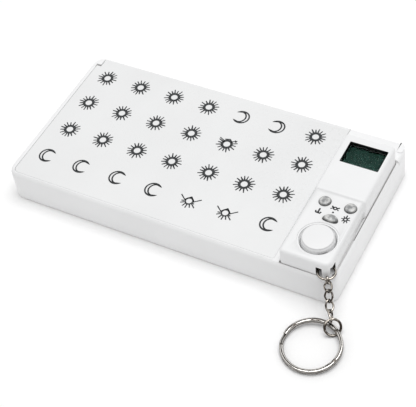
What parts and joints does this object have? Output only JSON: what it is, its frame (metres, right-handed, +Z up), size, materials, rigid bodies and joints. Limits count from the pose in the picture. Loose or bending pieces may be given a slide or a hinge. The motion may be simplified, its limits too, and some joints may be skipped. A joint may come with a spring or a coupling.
{
  "type": "electronic pill organizer",
  "caption": "Flat white weekly pill organizer with a hinged lid over a tray of cells and a lift-out alarm unit with display, keys and a key ring on a chain.",
  "frame": {"origin": "centre of the case's flat underside", "axes": "+X along the columns of cells towards the alarm unit, +Y from the front edge to the lid's hinge, +Z up"},
  "size_m": [0.1584, 0.1072, 0.0236],
  "materials": {
    "white_housing": "moulded white plastic, semi-matt",
    "lid_panel": "moulded white plastic with printed marks, semi-matt",
    "tray_plastic": "moulded white plastic",
    "key_plastic": "translucent grey plastic, glossy",
    "window": "clear window",
    "display": "dark green liquid crystal display",
    "board": "green circuit board",
    "rubber": "black conductive rubber",
    "dark_plastic": "black plastic",
    "nickel": "nickel-plated steel wire, polished",
    "steel": "plain steel",
    "battery": "printed metal jacket, plain grey"
  },
  "bodies": {
    "base": {"case_base": "white_housing", "pill_tray": "tray_plastic", "hinge_rod": "steel"},
    "lid": {"lid": "lid_panel"},
    "alarm_unit": {"fob_rear_case": "white_housing", "fob_front_cover": "white_housing", "lcd_lens": "window", "lcd_glass": "display", "contact_strip": "rubber", "circuit_board": "board", "buzzer": "dark_plastic", "battery_cell": "battery", "battery_contact_front": "steel", "battery_contact_back": "steel", "battery_door": "white_housing", "battery_door_screw": "steel", "fob_screw_back_left": "steel", "fob_screw_back_right": "steel", "fob_screw_front_left": "steel", "switch_left": "dark_plastic", "switch_right": "dark_plastic", "switch_bean": "dark_plastic", "switch_button": "dark_plastic"},
    "key_left": {"key_round_left": "key_plastic"},
    "key_right": {"key_round_right": "key_plastic"},
    "key_bean": {"key_bean": "key_plastic"},
    "big_button": {"big_button": "white_housing"},
    "key_loop": {"key_loop": "nickel"},
    "chain_link_1": {"chain_link_1": "nickel"},
    "chain_link_2": {"chain_link_2": "nickel"},
    "chain_link_3": {"chain_link_3": "nickel"},
    "chain_link_4": {"chain_link_4": "nickel"},
    "chain_link_5": {"chain_link_5": "nickel"},
    "jump_ring": {"jump_ring": "nickel"},
    "split_ring": {"split_ring": "nickel"}
  },
  "joints": [
    {"name": "lid_hinge", "type": "hinge", "parent": "base", "child": "lid", "pos_m": [0, 0.036, 0.0135], "axis": [-1, 0, 0], "range_deg": [0, 110]},
    {"name": "unit_lift", "type": "slide", "parent": "base", "child": "alarm_unit", "axis": [0, 0, 1], "range_m": [0, 0.025]},
    {"name": "key_left_press", "type": "slide", "parent": "alarm_unit", "child": "key_left", "axis": [0, 0, -1], "range_m": [0, 0.0004], "stiffness_N_per_m": 300},
    {"name": "key_right_press", "type": "slide", "parent": "alarm_unit", "child": "key_right", "axis": [0, 0, -1], "range_m": [0, 0.0004], "stiffness_N_per_m": 300},
    {"name": "key_bean_press", "type": "slide", "parent": "alarm_unit", "child": "key_bean", "axis": [0, 0, -1], "range_m": [0, 0.0004], "stiffness_N_per_m": 300},
    {"name": "big_button_press", "type": "slide", "parent": "alarm_unit", "child": "big_button", "axis": [0, 0, -1], "range_m": [0, 0.0005], "stiffness_N_per_m": 300},
    {"name": "loop_swivel", "type": "hinge", "parent": "alarm_unit", "child": "key_loop", "pos_m": [0.0696, -0.0348, 0.016], "axis": [0, 0, 1], "range_deg": [-10, 10]},
    {"name": "link_1_swing", "type": "hinge", "parent": "key_loop", "child": "chain_link_1", "pos_m": [0.0712, -0.03769, 0.016], "axis": [0.8746, 0.4848, 0], "range_deg": [-6, 6]},
    {"name": "link_2_swing", "type": "hinge", "parent": "chain_link_1", "child": "chain_link_2", "pos_m": [0.07125, -0.03778, 0.01443], "axis": [0.8746, 0.4848, 0], "range_deg": [-6, 12]},
    {"name": "link_3_swing", "type": "hinge", "parent": "chain_link_2", "child": "chain_link_3", "pos_m": [0.07189, -0.03893, 0.01081], "axis": [0.8746, 0.4848, 0], "range_deg": [-6, 12]},
    {"name": "link_4_swing", "type": "hinge", "parent": "chain_link_3", "child": "chain_link_4", "pos_m": [0.07299, -0.04091, 0.0077], "axis": [0.8746, 0.4848, 0], "range_deg": [-6, 12]},
    {"name": "link_5_swing", "type": "hinge", "parent": "chain_link_4", "child": "chain_link_5", "pos_m": [0.07469, -0.04399, 0.00613], "axis": [0.8746, 0.4848, 0], "range_deg": [-6, 12]},
    {"name": "jump_ring_swing", "type": "hinge", "parent": "chain_link_5", "child": "jump_ring", "pos_m": [0.07624, -0.04678, 0.00533], "axis": [0.7547, 0.6561, 0], "range_deg": [-8, 8]},
    {"name": "split_ring_swing", "type": "hinge", "parent": "jump_ring", "child": "split_ring", "pos_m": [0.07753, -0.04827, 0.00294], "axis": [0.9135, -0.4067, 0], "range_deg": [-6, 6]}
  ]
}
